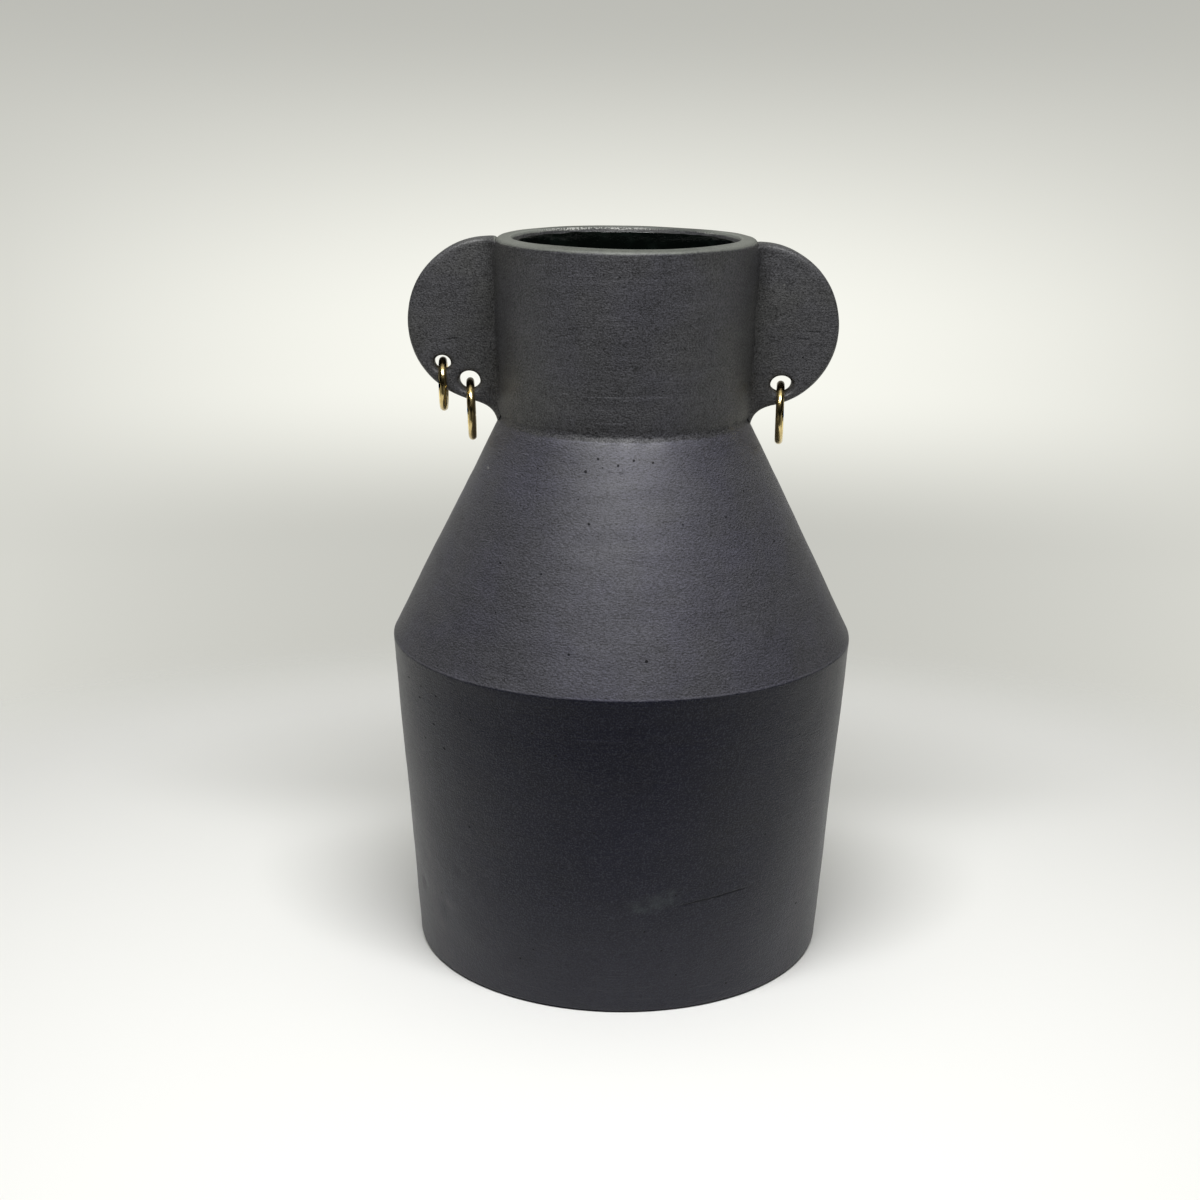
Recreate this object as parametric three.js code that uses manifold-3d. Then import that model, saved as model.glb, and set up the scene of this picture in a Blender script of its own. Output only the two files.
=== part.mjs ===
// Handled stoneware vase: a coned bottle with two ear-shaped handles and three brass hoops.
// Millimetres, +Z up, front towards -Y, origin at the middle of the underside.
// The clay pieces are made one by one and luted together, so each is a solid of its own.
// The hoops hang in holes pierced through the ears and swing there.

import * as THREE from 'three';
import { mergeVertices } from 'three/addons/utils/BufferGeometryUtils.js';
import Module from 'manifold-3d';

// Outside of the vessel, as radius and height.
const height = 280;
const baseRadius = 80.8;
const shoulderRadius = 89.9;
const shoulderHeight = 126.7;
const neckFootRadius = 47;
const neckFootHeight = 212.9;
const rimRadius = 49.2;

// Clay thicknesses, level on the wall, cone and neck, upright on the base.
const wallThickness = 7;
const coneThickness = 8;
const neckThickness = 6.5;
const slabThickness = 9;
const glazeThickness = 0.6;

// Edges worked with a wet sponge.
const baseEdge = 2.6;
const shoulderEdge = 2.2;
const lipOuterEdge = 2.4;
const lipInnerEdge = 1.2;
const edgeSteps = 3;

// Seats between the clay pieces: each has a step that centres the next piece.
const luteGap = 0.3;
const slabStep = 2;
const shoulderSeam = 117;
const seatStep = 3;
const wallStepInset = 3.4;
const neckStepInset = 3.2;
const glazeStart = 277.4;

// Ears: flat discs with eased edges, each with its own size because they are cut by hand.
const earThickness = 10;
const earEase = 1.6;
const earRoot = 9;
const leftEar = { out: 51, up: 248.2, radius: 31.4 };
const rightEar = { out: 49.8, up: 247.2, radius: 31.1 };

// The underside of each ear leaves its disc, sweeps down past a bend and ends in a toe on the cone.
const sweepStart = 58.5;
const sweepBend = { out: 49.9, up: 216.1 };
const earToe = { out: 49.2, up: 209.8 };

// Holes through the ears, as the outward distance of their middle, their lowest point and their size.
const outerLeftHole = { out: 69.5, low: 228.9, width: 6.7, tall: 6.1 };
const innerLeftHole = { out: 59.1, low: 221.4, width: 8.2, tall: 7.6 };
const rightHole = { out: 59.8, low: 221.5, width: 8.5, tall: 7.1 };

// Hoops of round brass wire. Each stands off the line of its hole by a turn about the upright
// and hangs with a small lean in the plane of the ear, in degrees.
const wireDiameter = 3.1;
const hoopSeam = 0.3;
const seatGap = 0.45;
const seamAngle = 25;
const outerLeftHoop = { diameter: 20.7, turn: 3.1, lean: -1.1 };
const innerLeftHoop = { diameter: 24.1, turn: 4.2, lean: -2.3 };
const rightHoop = { diameter: 24.4, turn: -4.6, lean: 0.3 };

// Fineness of the round forms.
const turnSegments = 80;
const discSteps = 44;
const sweepSteps = 7;
const holeSteps = 28;
const wireSides = 12;
const hoopSteps = 44;

const stoneware = new THREE.MeshStandardMaterial({ color: 0x3b3b3f, roughness: 0.82, metalness: 0 });
const glaze = new THREE.MeshStandardMaterial({ color: 0x0b0e0c, roughness: 0.12, metalness: 0 });
const brass = new THREE.MeshStandardMaterial({ color: 0xb08d4a, roughness: 0.28, metalness: 1 });

const wasm = await Module();
wasm.setup();

// A straight stretch of the profile: radius as a function of height.
function profileLine(lowRadius, low, highRadius, high) {
  const slope = (highRadius - lowRadius) / (high - low);
  return { at: (z) => lowRadius + slope * (z - low), slope };
}

// The same stretch moved in towards the axis.
function movedIn(line, distance) {
  return { at: (z) => line.at(z) - distance, slope: line.slope };
}

// The height at which two straight stretches cross.
function crossing(first, second) {
  return (second.at(0) - first.at(0)) / (first.slope - second.slope);
}

const wallOutside = profileLine(baseRadius, 0, shoulderRadius, shoulderHeight);
const coneOutside = profileLine(shoulderRadius, shoulderHeight, neckFootRadius, neckFootHeight);
const neckOutside = profileLine(neckFootRadius, neckFootHeight, rimRadius, height);
const wallInside = movedIn(wallOutside, wallThickness);
const coneInside = movedIn(coneOutside, coneThickness);
const neckInside = movedIn(neckOutside, neckThickness);
const floorHeight = slabThickness + slabStep;

const point = (radius, z) => new THREE.Vector2(radius, z);

// A corner between two neighbours, eased into a curve that starts and ends the given distance away.
function eased(before, corner, after, distance) {
  const from = corner.clone().add(before.clone().sub(corner).setLength(distance));
  const to = corner.clone().add(after.clone().sub(corner).setLength(distance));
  return new THREE.QuadraticBezierCurve(from, corner, to).getPoints(edgeSteps);
}

// A body turned about the vertical axis. The profile runs anticlockwise, from the outside's foot up.
function turned(profile) {
  const geometry = new THREE.LatheGeometry(profile, turnSegments);
  geometry.rotateX(Math.PI / 2);
  return geometry;
}

// A ring of clay, whose profile closes on itself.
function turnedRing(profile) {
  return turned([...profile, profile[0].clone()]);
}

function baseSlab() {
  const foot = point(wallOutside.at(0), 0);
  const seatEdge = point(wallOutside.at(slabThickness), slabThickness);
  const stepRadius = wallInside.at(slabThickness) - luteGap;
  return turned([
    point(0, 0),
    ...eased(point(0, 0), foot, seatEdge, baseEdge),
    seatEdge,
    point(stepRadius, slabThickness),
    point(stepRadius, floorHeight),
    point(0, floorHeight),
  ]);
}

function lowerWall() {
  const foot = slabThickness + luteGap;
  const stepTop = shoulderSeam + seatStep;
  const stepRadius = wallOutside.at(shoulderSeam) - wallStepInset;
  return turnedRing([
    point(wallOutside.at(foot), foot),
    point(wallOutside.at(shoulderSeam), shoulderSeam),
    point(stepRadius, shoulderSeam),
    point(stepRadius, stepTop),
    point(wallInside.at(stepTop), stepTop),
    point(wallInside.at(foot), foot),
  ]);
}

function shoulderCone() {
  const foot = shoulderSeam + luteGap;
  const socketTop = foot + seatStep;
  const socketRadius = wallOutside.at(shoulderSeam) - wallStepInset + luteGap;
  const top = neckFootHeight - luteGap / 2;
  const stepRadius = neckFootRadius - neckStepInset;
  const skirt = point(wallOutside.at(foot), foot);
  const shoulder = point(shoulderRadius, shoulderHeight);
  const coneTop = point(coneOutside.at(top), top);
  const upperBend = crossing(coneInside, neckInside);
  const lowerBend = crossing(wallInside, coneInside);
  return turnedRing([
    skirt,
    ...eased(skirt, shoulder, coneTop, shoulderEdge),
    coneTop,
    point(stepRadius, top),
    point(stepRadius, top + seatStep),
    point(neckInside.at(top + seatStep), top + seatStep),
    point(neckInside.at(upperBend), upperBend),
    point(wallInside.at(lowerBend), lowerBend),
    point(wallInside.at(socketTop), socketTop),
    point(socketRadius, socketTop),
    point(socketRadius, foot),
  ]);
}

function neckCollar() {
  const foot = neckFootHeight + luteGap / 2;
  const socketTop = foot + seatStep;
  const socketRadius = neckFootRadius - neckStepInset + luteGap;
  const outerFoot = point(neckOutside.at(foot), foot);
  const outerLip = point(rimRadius, height);
  const innerLip = point(rimRadius - neckThickness, height);
  const innerFoot = point(neckInside.at(socketTop), socketTop);
  return turnedRing([
    outerFoot,
    ...eased(outerFoot, outerLip, innerLip, lipOuterEdge),
    ...eased(outerLip, innerLip, innerFoot, lipInnerEdge),
    innerFoot,
    point(socketRadius, socketTop),
    point(socketRadius, foot),
  ]);
}

// The line of the hollow from the middle of the floor to the mouth, moved into the hollow.
function hollowLine(inset) {
  const wall = movedIn(wallInside, inset);
  const cone = movedIn(coneInside, inset);
  const neck = movedIn(neckInside, inset);
  const floor = floorHeight + inset;
  const lowerBend = crossing(wall, cone);
  const upperBend = crossing(cone, neck);
  return [
    point(0, floor),
    point(wall.at(floor), floor),
    point(wall.at(lowerBend), lowerBend),
    point(neck.at(upperBend), upperBend),
    point(neck.at(glazeStart), glazeStart),
  ];
}

// The coat of glaze that makes the inside hold water, wiped off at the lip.
function glazeLining() {
  const claySide = hollowLine(luteGap);
  const waterSide = hollowLine(luteGap + glazeThickness);
  return turned([...claySide, ...waterSide.reverse()]);
}

function toSolid(geometry) {
  const bare = geometry.clone();
  bare.deleteAttribute('normal');
  bare.deleteAttribute('uv');
  const welded = mergeVertices(bare, 1e-4);
  const index = welded.index.array;
  const corners = [];
  for (let i = 0; i < index.length; i += 3) {
    const [a, b, c] = [index[i], index[i + 1], index[i + 2]];
    if (a !== b && b !== c && c !== a) {
      corners.push(a, b, c);
    }
  }
  return new wasm.Manifold(new wasm.Mesh({
    numProp: 3,
    vertProperties: new Float32Array(welded.attributes.position.array),
    triVerts: new Uint32Array(corners),
  }));
}

function toGeometry(solid) {
  const mesh = solid.getMesh();
  const geometry = new THREE.BufferGeometry();
  geometry.setAttribute('position', new THREE.BufferAttribute(mesh.vertProperties, 3));
  geometry.setIndex(new THREE.BufferAttribute(mesh.triVerts, 1));
  geometry.computeVertexNormals();
  return geometry;
}

// The filled outside of the vessel with the lute gap round it, which shapes the root of each ear.
function vesselOutside() {
  const wall = movedIn(wallOutside, -luteGap);
  const cone = movedIn(coneOutside, -luteGap / Math.cos(Math.atan(coneOutside.slope)));
  const neck = movedIn(neckOutside, -luteGap);
  const shoulder = crossing(wall, cone);
  const neckFoot = crossing(cone, neck);
  return toSolid(turned([
    point(0, 0),
    point(wall.at(0), 0),
    point(wall.at(shoulder), shoulder),
    point(neck.at(neckFoot), neckFoot),
    point(neck.at(height + 1), height + 1),
    point(0, height + 1),
  ]));
}

// The points of an arc in the flat outline of an ear, from one angle up to another.
function arcPoints(out, up, radius, from, to, steps) {
  return new THREE.EllipseCurve(out, up, radius, radius, from, to, false).getPoints(steps);
}

// An ear seen flat, as outward distance and height. Its disc runs down into the foot of the neck.
function earOutline(ear) {
  const sweepAngle = -Math.acos((sweepStart - ear.out) / ear.radius);
  const rootOut = neckFootRadius - earRoot;
  const rootAngle = Math.acos((rootOut - ear.out) / ear.radius);
  const disc = arcPoints(ear.out, ear.up, ear.radius, sweepAngle, rootAngle, discSteps);
  const toe = point(earToe.out, earToe.up);
  const bend = point(sweepBend.out, sweepBend.up);
  const sweep = new THREE.QuadraticBezierCurve(toe, bend, disc[0]).getPoints(sweepSteps);
  return new THREE.Shape([point(rootOut, earToe.up), ...sweep, ...disc.slice(1)]);
}

// What a hole takes away: an oval bore that opens out at both mouths, where the clay is eased.
function holeCutter(hole) {
  const radius = (hole.width + hole.tall) / 4;
  const mouth = radius + earEase;
  const face = earThickness / 2;
  const nearLip = eased(point(mouth, -face), point(radius, -face), point(radius, 0), earEase);
  const nearHalf = [point(mouth, -face - luteGap), ...nearLip];
  const farHalf = nearHalf.map((place) => point(place.x, -place.y)).reverse();
  const end = face + luteGap;
  const cutter = new THREE.LatheGeometry([point(0, -end), ...nearHalf, ...farHalf, point(0, end)], holeSteps);
  cutter.scale(hole.width / 2 / radius, 1, hole.tall / 2 / radius);
  cutter.translate(hole.out, 0, hole.low + hole.tall / 2);
  return toSolid(cutter);
}

// The ear is an eased slab, pierced for its hoops and shaved to the round of the neck and cone.
function makeEar(ear, holes, side) {
  const slab = new THREE.ExtrudeGeometry(earOutline(ear), {
    depth: earThickness - 2 * earEase,
    bevelThickness: earEase,
    bevelSize: earEase,
    bevelOffset: -earEase,
    bevelSegments: edgeSteps,
  });
  slab.translate(0, 0, earEase - earThickness / 2);
  slab.rotateX(Math.PI / 2);
  let solid = toSolid(slab).subtract(vesselOutside());
  for (const hole of holes) {
    solid = solid.subtract(holeCutter(hole));
  }
  const geometry = toGeometry(solid);
  if (side < 0) {
    geometry.rotateZ(Math.PI);
  }
  return geometry;
}

// The middle line of a hoop: a circle in the YZ plane, left open by the butt seam at the back.
class HoopLine extends THREE.Curve {
  constructor(radius) {
    super();
    this.radius = radius;
    this.halfSeam = hoopSeam / 2 / radius;
  }

  getPoint(t, target = new THREE.Vector3()) {
    const seam = THREE.MathUtils.degToRad(-seamAngle);
    const angle = seam + this.halfSeam + t * 2 * (Math.PI - this.halfSeam);
    return target.set(0, this.radius * Math.cos(angle), this.radius * Math.sin(angle));
  }
}

function makeHoop(hoop) {
  const section = new THREE.Shape();
  section.absarc(0, 0, wireDiameter / 2, 0, 2 * Math.PI);
  return new THREE.ExtrudeGeometry(section, {
    steps: hoopSteps,
    curveSegments: wireSides / 2,
    extrudePath: new HoopLine((hoop.diameter - wireDiameter) / 2),
  });
}

// How high the wire's middle lies in the hole when the hoop rests on the hole's two eased lips.
function seatHeight(hole, hoop) {
  const innerRadius = hoop.diameter / 2 - wireDiameter;
  const lipReach = innerRadius - earEase - seatGap;
  const lipSide = earThickness / 2 - earEase;
  const middle = hole.low - earEase - Math.sqrt(lipReach ** 2 - lipSide ** 2);
  return middle + innerRadius + wireDiameter / 2;
}

const vase = new THREE.Group();

function addPiece(parent, name, geometry, material) {
  const piece = new THREE.Mesh(geometry, material);
  piece.name = name;
  parent.add(piece);
  return piece;
}

function addHoop(name, hole, hoop, side) {
  const seat = new THREE.Group();
  seat.position.set(side * hole.out, 0, seatHeight(hole, hoop));
  seat.rotation.y = THREE.MathUtils.degToRad(hoop.lean);
  vase.add(seat);
  const piece = addPiece(seat, name, makeHoop(hoop), brass);
  piece.position.z = (wireDiameter - hoop.diameter) / 2;
  piece.rotation.z = THREE.MathUtils.degToRad(hoop.turn);
}

addPiece(vase, 'base_slab', baseSlab(), stoneware);
addPiece(vase, 'lower_wall', lowerWall(), stoneware);
addPiece(vase, 'shoulder_cone', shoulderCone(), stoneware);
addPiece(vase, 'neck_collar', neckCollar(), stoneware);
addPiece(vase, 'left_ear', makeEar(leftEar, [outerLeftHole, innerLeftHole], -1), stoneware);
addPiece(vase, 'right_ear', makeEar(rightEar, [rightHole], 1), stoneware);
addPiece(vase, 'glaze_lining', glazeLining(), glaze);
addHoop('outer_left_hoop', outerLeftHole, outerLeftHoop, -1);
addHoop('inner_left_hoop', innerLeftHole, innerLeftHoop, -1);
addHoop('right_hoop', rightHole, rightHoop, 1);

export default vase;
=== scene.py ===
"""Handled stoneware vase: fine clay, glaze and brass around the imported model, in metres, +Z up."""

import math

import bmesh
import bpy
from bpy.props import FloatProperty, FloatVectorProperty, IntProperty, PointerProperty
from mathutils import Matrix, Vector, noise


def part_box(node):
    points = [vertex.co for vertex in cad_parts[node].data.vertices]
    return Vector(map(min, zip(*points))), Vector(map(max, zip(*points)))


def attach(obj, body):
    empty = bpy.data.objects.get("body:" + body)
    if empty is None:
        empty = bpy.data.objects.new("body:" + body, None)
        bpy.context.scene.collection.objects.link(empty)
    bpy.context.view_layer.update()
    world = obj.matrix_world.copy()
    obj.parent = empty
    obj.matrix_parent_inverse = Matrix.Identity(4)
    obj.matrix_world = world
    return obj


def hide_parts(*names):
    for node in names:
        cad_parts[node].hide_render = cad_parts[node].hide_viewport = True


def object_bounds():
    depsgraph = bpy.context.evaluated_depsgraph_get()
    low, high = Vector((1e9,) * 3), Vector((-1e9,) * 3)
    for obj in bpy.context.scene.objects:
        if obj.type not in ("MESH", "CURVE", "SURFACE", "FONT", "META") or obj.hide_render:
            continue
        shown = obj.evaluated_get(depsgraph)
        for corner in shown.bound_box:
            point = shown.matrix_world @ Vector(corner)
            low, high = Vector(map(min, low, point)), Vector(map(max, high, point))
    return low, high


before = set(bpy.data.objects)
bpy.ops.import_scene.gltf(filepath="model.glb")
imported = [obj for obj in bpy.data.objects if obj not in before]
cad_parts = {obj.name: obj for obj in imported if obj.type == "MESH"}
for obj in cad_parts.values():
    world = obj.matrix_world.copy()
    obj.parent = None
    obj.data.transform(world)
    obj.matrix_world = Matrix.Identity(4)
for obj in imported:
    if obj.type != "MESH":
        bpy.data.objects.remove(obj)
cad_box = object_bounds()

bl_info = {
    "name": "Handled Vase",
    "version": (1, 0, 0),
    "blender": (4, 5, 0),
    "location": "View3D > Sidebar > Vase",
    "description": "Makes a charcoal stoneware vase with pierced ears and brass hoops",
    "category": "Add Mesh",
}

MM = 0.001
UP = Vector((0, 0, 1))

# Points nearer to each other than this are made one.
MERGE_DISTANCE = 0.002 * MM

# Bodies of the frame that the pieces ride on.
VESSEL = "vessel"
HOOP_BODIES = {
    "outer_left_hoop": "hoop_outer_left",
    "inner_left_hoop": "hoop_inner_left",
    "right_hoop": "hoop_right",
}

# Pose of the photograph's camera, whose picture is as wide as it is tall.
CAMERA_PLACE = (0, -0.7359, 0.3528)
CAMERA_PITCH = math.radians(-16.29)
CAMERA_YAW = math.radians(0.666)
CAMERA_ROLL = math.radians(0.558)
CAMERA_LENS = 58.155
CAMERA_SENSOR = 36.0

# Where the floor starts to fade into the backdrop and where it is gone: all round, out from the
# vase's axis, and towards the front, where the picture ends. It reaches further sideways by the
# stretch.
FLOOR_FADE_START = 0.27
FLOOR_FADE_END = 0.42
FLOOR_STRETCH = 1.3
FRONT_FADE_START = 0.20
FRONT_FADE_END = 0.31

# The strip light: its length and width, where it hangs, and the point that it is turned to.
STRIP_SIZE = (0.45, 0.10)
STRIP_PLACE = (0, -0.27, 0.69)
STRIP_AIM = (0, -0.03, 0.10)

# How bright each part of the tent is: the cloth, the glow behind the vase, the low sides, the fold
# at the bottom, the cloth high up behind, the top, and the floor beside and in front of the vase.
CLOTH_LEVEL = 0.55
GLOW_LEVEL = 0.40
LOW_SIDES_LEVEL = 1.2
FOLD_LEVEL = 0.40
HIGH_CLOTH_LEVEL = 0.29
TOP_LEVEL = 1.17
SIDE_FLOOR_LEVEL = 0.32
FRONT_FLOOR_LEVEL = 0.06


class VaseSizes(bpy.types.PropertyGroup):
    """Sizes of the clay, the glaze and the wire."""

    height: FloatProperty(
        name="Height", description="Height to the top of the lip",
        default=cad_box[1].z, unit="LENGTH",
    )
    base_radius: FloatProperty(
        name="Base radius", description="Outside radius at the foot",
        default=80.8 * MM, unit="LENGTH",
    )
    shoulder_radius: FloatProperty(
        name="Shoulder radius", description="Outside radius at the crisp edge",
        default=89.9 * MM, unit="LENGTH",
    )
    shoulder_height: FloatProperty(
        name="Shoulder height", description="Height of the crisp edge",
        default=126.7 * MM, unit="LENGTH",
    )
    neck_radius: FloatProperty(
        name="Neck radius", description="Outside radius at the foot of the neck",
        default=47.0 * MM, unit="LENGTH",
    )
    neck_foot: FloatProperty(
        name="Neck foot", description="Height where the cone meets the neck",
        default=212.9 * MM, unit="LENGTH",
    )
    rim_radius: FloatProperty(
        name="Rim radius", description="Outside radius at the lip",
        default=49.2 * MM, unit="LENGTH",
    )
    wall: FloatProperty(
        name="Wall", description="Clay thickness of the lower wall",
        default=7.0 * MM, unit="LENGTH",
    )
    cone_wall: FloatProperty(
        name="Cone wall", description="Clay thickness of the cone, level",
        default=8.0 * MM, unit="LENGTH",
    )
    neck_wall: FloatProperty(
        name="Neck wall", description="Clay thickness at the lip",
        default=6.5 * MM, unit="LENGTH",
    )
    floor: FloatProperty(
        name="Floor", description="Height of the clay floor inside",
        default=11.0 * MM, unit="LENGTH",
    )
    glaze: FloatProperty(
        name="Glaze", description="Thickness of the glaze inside",
        default=0.6 * MM, unit="LENGTH",
    )
    root_flare: FloatProperty(
        name="Root flare", description="Radius of the clay smeared round each ear's root",
        default=7.5 * MM, unit="LENGTH",
    )
    wire: FloatProperty(
        name="Wire", description="Thickness of the brass wire",
        default=3.1 * MM, unit="LENGTH",
    )
    turn_steps: IntProperty(
        name="Turning steps", description="Faces round the body", default=320, min=32
    )


class VaseColours(bpy.types.PropertyGroup):
    """Colours of the clay, the lip, the glaze and the brass."""

    wall: FloatVectorProperty(
        name="Wall", description="Charcoal clay of the lower wall",
        subtype="COLOR", default=(0.0018, 0.0021, 0.0105),
    )
    cone: FloatVectorProperty(
        name="Cone", description="Burnished clay of the cone",
        subtype="COLOR", default=(0.0362, 0.0356, 0.0450),
    )
    neck: FloatVectorProperty(
        name="Neck", description="Clay of the neck and ears",
        subtype="COLOR", default=(0.0340, 0.0340, 0.0350),
    )
    lip: FloatVectorProperty(
        name="Lip", description="Lip wiped with a sponge",
        subtype="COLOR", default=(0.062, 0.066, 0.057),
    )
    glaze: FloatVectorProperty(
        name="Glaze", description="Liner glaze",
        subtype="COLOR", default=(0.0014, 0.0022, 0.0018),
    )
    brass: FloatVectorProperty(
        name="Brass", description="Clean brass",
        subtype="COLOR", default=(0.64, 0.505, 0.235),
    )
    tarnish: FloatVectorProperty(
        name="Tarnish", description="Brass dulled by handling",
        subtype="COLOR", default=(0.32, 0.22, 0.085),
    )


class VaseStage(bpy.types.PropertyGroup):
    """The floor and the soft light."""

    floor: FloatVectorProperty(
        name="Floor", description="Colour of the floor",
        subtype="COLOR", default=(0.84, 0.84, 0.83),
    )
    backdrop: FloatVectorProperty(
        name="Backdrop", description="Light from the cloth behind the vase",
        subtype="COLOR", default=(1.02, 1.02, 0.945),
    )
    overhead: FloatProperty(
        name="Overhead", description="Power of the light above the front",
        default=4.85, unit="POWER",
    )


class Socket:
    """A value in a tree of shader nodes. Arithmetic with it adds Math nodes to the same tree."""

    def __init__(self, nodes, output):
        self.nodes = nodes
        self.output = output

    def maths(self, operation, *values):
        settings = {"operation": operation}
        return self.nodes.add("ShaderNodeMath", settings, dict(enumerate(values)))

    def __add__(self, other):
        return self.maths("ADD", self, other)

    def __radd__(self, other):
        return self.maths("ADD", other, self)

    def __sub__(self, other):
        return self.maths("SUBTRACT", self, other)

    def __rsub__(self, other):
        return self.maths("SUBTRACT", other, self)

    def __mul__(self, other):
        return self.maths("MULTIPLY", self, other)

    def __rmul__(self, other):
        return self.maths("MULTIPLY", other, self)

    def __truediv__(self, other):
        return self.maths("DIVIDE", self, other)

    def __pow__(self, other):
        return self.maths("POWER", self, other)

    def __abs__(self):
        return self.maths("ABSOLUTE", self)

    def at_least(self, other):
        """The greater of this value and another."""
        return self.maths("MAXIMUM", self, other)

    def held(self, low, high):
        """The value, kept between two limits."""
        return self.nodes.add("ShaderNodeClamp", None, {"Value": self, "Min": low, "Max": high})

    def rise(self, low, high):
        """0 below low, 1 above high and smooth between; with low above high it falls instead."""
        return self.nodes.add(
            "ShaderNodeMapRange",
            {"interpolation_type": "SMOOTHSTEP"},
            {"Value": self, "From Min": low, "From Max": high},
        )


class Nodes:
    """A tree of shader nodes: one method adds any node, and the rest are short forms of it."""

    def __init__(self, tree):
        self.tree = tree
        self.tree.nodes.clear()

    def add(self, kind, settings=None, inputs=None, output=0):
        node = self.tree.nodes.new(kind)
        for name, value in (settings or {}).items():
            setattr(node, name, value)
        for place, value in (inputs or {}).items():
            if isinstance(value, Socket):
                self.tree.links.new(value.output, node.inputs[place])
            else:
                node.inputs[place].default_value = value
        return Socket(self, node.outputs[output]) if node.outputs else node

    def place(self):
        """Where on the object a point lies."""
        return self.add("ShaderNodeTexCoord", output="Object")

    def axes(self, vector):
        return [self.add("ShaderNodeSeparateXYZ", None, {0: vector}, axis) for axis in range(3)]

    def stretched(self, vector, scale):
        return self.add("ShaderNodeMapping", None, {"Vector": vector, "Scale": scale})

    def noise(self, vector, size, detail=3.0, roughness=0.55):
        """Soft noise whose features are about the given size in metres."""
        inputs = {"Vector": vector, "Scale": 1 / size, "Detail": detail, "Roughness": roughness}
        return self.add("ShaderNodeTexNoise", None, inputs)

    def dots(self, vector, spacing, radius, share):
        """Round soft dots strewn at about a spacing; only a share of the cells has one."""
        inputs = {"Vector": vector, "Scale": 1 / spacing}
        distance = self.add("ShaderNodeTexVoronoi", None, inputs)
        cell = self.add("ShaderNodeTexVoronoi", None, inputs, "Color")
        chance = self.add("ShaderNodeSeparateColor", None, {0: cell})
        reach = radius / spacing
        return distance.rise(reach, reach * 0.5) * chance.rise(1 - share, 1 - share + 0.02)

    def blend(self, factor, first, second):
        """A colour between two colours."""
        inputs = {0: factor, 6: rgba(first), 7: rgba(second)}
        return self.add("ShaderNodeMix", {"data_type": "RGBA"}, inputs, 2)

    def layered(self, colour, *layers):
        """A colour with others laid over it in turn, each given as its share and the colour."""
        for share, over in layers:
            colour = self.blend(share, colour, over)
        return colour

    def shaded(self, colour, level):
        """A colour made lighter or darker by a level, or tinted by another colour."""
        settings = {"data_type": "RGBA", "blend_type": "MULTIPLY"}
        return self.add("ShaderNodeMix", settings, {0: 1.0, 6: rgba(colour), 7: level}, 2)

    def bump(self, height, distance):
        return self.add("ShaderNodeBump", None, {"Height": height, "Distance": distance})

    def surface(self, **values):
        """The Principled shader and the output; socket names have underscores for spaces."""
        inputs = {name.replace("_", " "): value for name, value in values.items()}
        shader = self.add("ShaderNodeBsdfPrincipled", None, inputs)
        self.add("ShaderNodeOutputMaterial", None, {"Surface": shader})


def rgba(colour):
    """A colour with its alpha; a colour that comes from a node already has one."""
    return colour if isinstance(colour, Socket) else (*colour, 1.0)


def new_material(name):
    material = bpy.data.materials.new(name)
    material.use_nodes = True
    return material, Nodes(material.node_tree)


# Marks in the clay on the front, from one end to the other, as sideways place and height in mm.
CRACK = ((23.0, 44.4), (48.0, 46.8))
PALE_PATCH = ((4.0, 43.0), (23.0, 49.5))
FOOT_GROOVES = (
    ((-25.0, 203.4), (-16.5, 203.2)),
    ((-7.7, 201.2), (1.2, 200.8)),
)
WALL_LINES = (
    ((-33.0, 112.0), (-24.0, 112.0)),
    ((-16.0, 111.2), (1.0, 111.4)),
)
NECK_LINES = (
    ((-24.0, 227.4), (-17.0, 227.3)),
    ((-15.0, 227.0), (17.5, 227.0)),
    ((-1.5, 226.1), (8.5, 226.1)),
    ((-11.0, 217.4), (1.5, 217.5)),
    ((-33.0, 272.9), (-25.0, 273.5)),
    ((-20.0, 270.6), (-11.0, 270.4)),
)
EAR_CREASES = (
    ((69.5, 245.7), (74.0, 245.3)),
    ((65.0, 243.2), (69.5, 242.6)),
    ((-67.5, 241.0), (-62.5, 241.6)),
)

# Pale grains and pinholes on the front, as sideways place, height and radius in mm.
PALE_GRAINS = ((59.3, 263.0, 0.40), (64.6, 271.6, 0.35), (-50.9, 195.5, 0.45))
PINHOLES = (
    (-80.3, 117.7, 0.45),
    (-74.7, 117.5, 0.35),
    (-68.3, 116.6, 0.45),
    (-58.6, 113.7, 0.40),
    (-54.5, 112.1, 0.45),
    (-75.4, 112.6, 0.50),
    (-69.5, 104.6, 0.50),
    (-65.3, 96.6, 0.60),
    (-73.4, 96.9, 0.40),
    (-31.5, 111.8, 0.60),
    (-22.9, 104.3, 0.60),
    (-55.7, 67.9, 0.50),
    (35.0, 52.0, 0.50),
    (10.0, 34.4, 0.50),
    (16.4, 26.0, 0.50),
    (-36.3, 18.5, 0.50),
    (69.0, 29.6, 0.50),
    (54.6, 67.0, 0.45),
    (41.4, 7.5, 0.50),
    (-31.3, 23.4, 0.45),
    (15.0, 67.4, 0.40),
    (7.0, 67.0, 0.40),
    (-9.2, 205.3, 0.60),
    (-1.9, 203.3, 0.60),
    (3.8, 205.0, 0.55),
    (10.7, 204.2, 0.50),
    (-13.6, 200.8, 0.70),
    (-12.1, 183.6, 0.60),
    (-44.5, 167.0, 0.50),
    (-29.1, 165.8, 0.45),
    (-18.6, 140.8, 0.55),
    (37.7, 183.9, 0.45),
    (56.4, 172.0, 0.45),
    (9.1, 139.4, 0.70),
    (-2.0, 270.4, 0.45),
)

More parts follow.
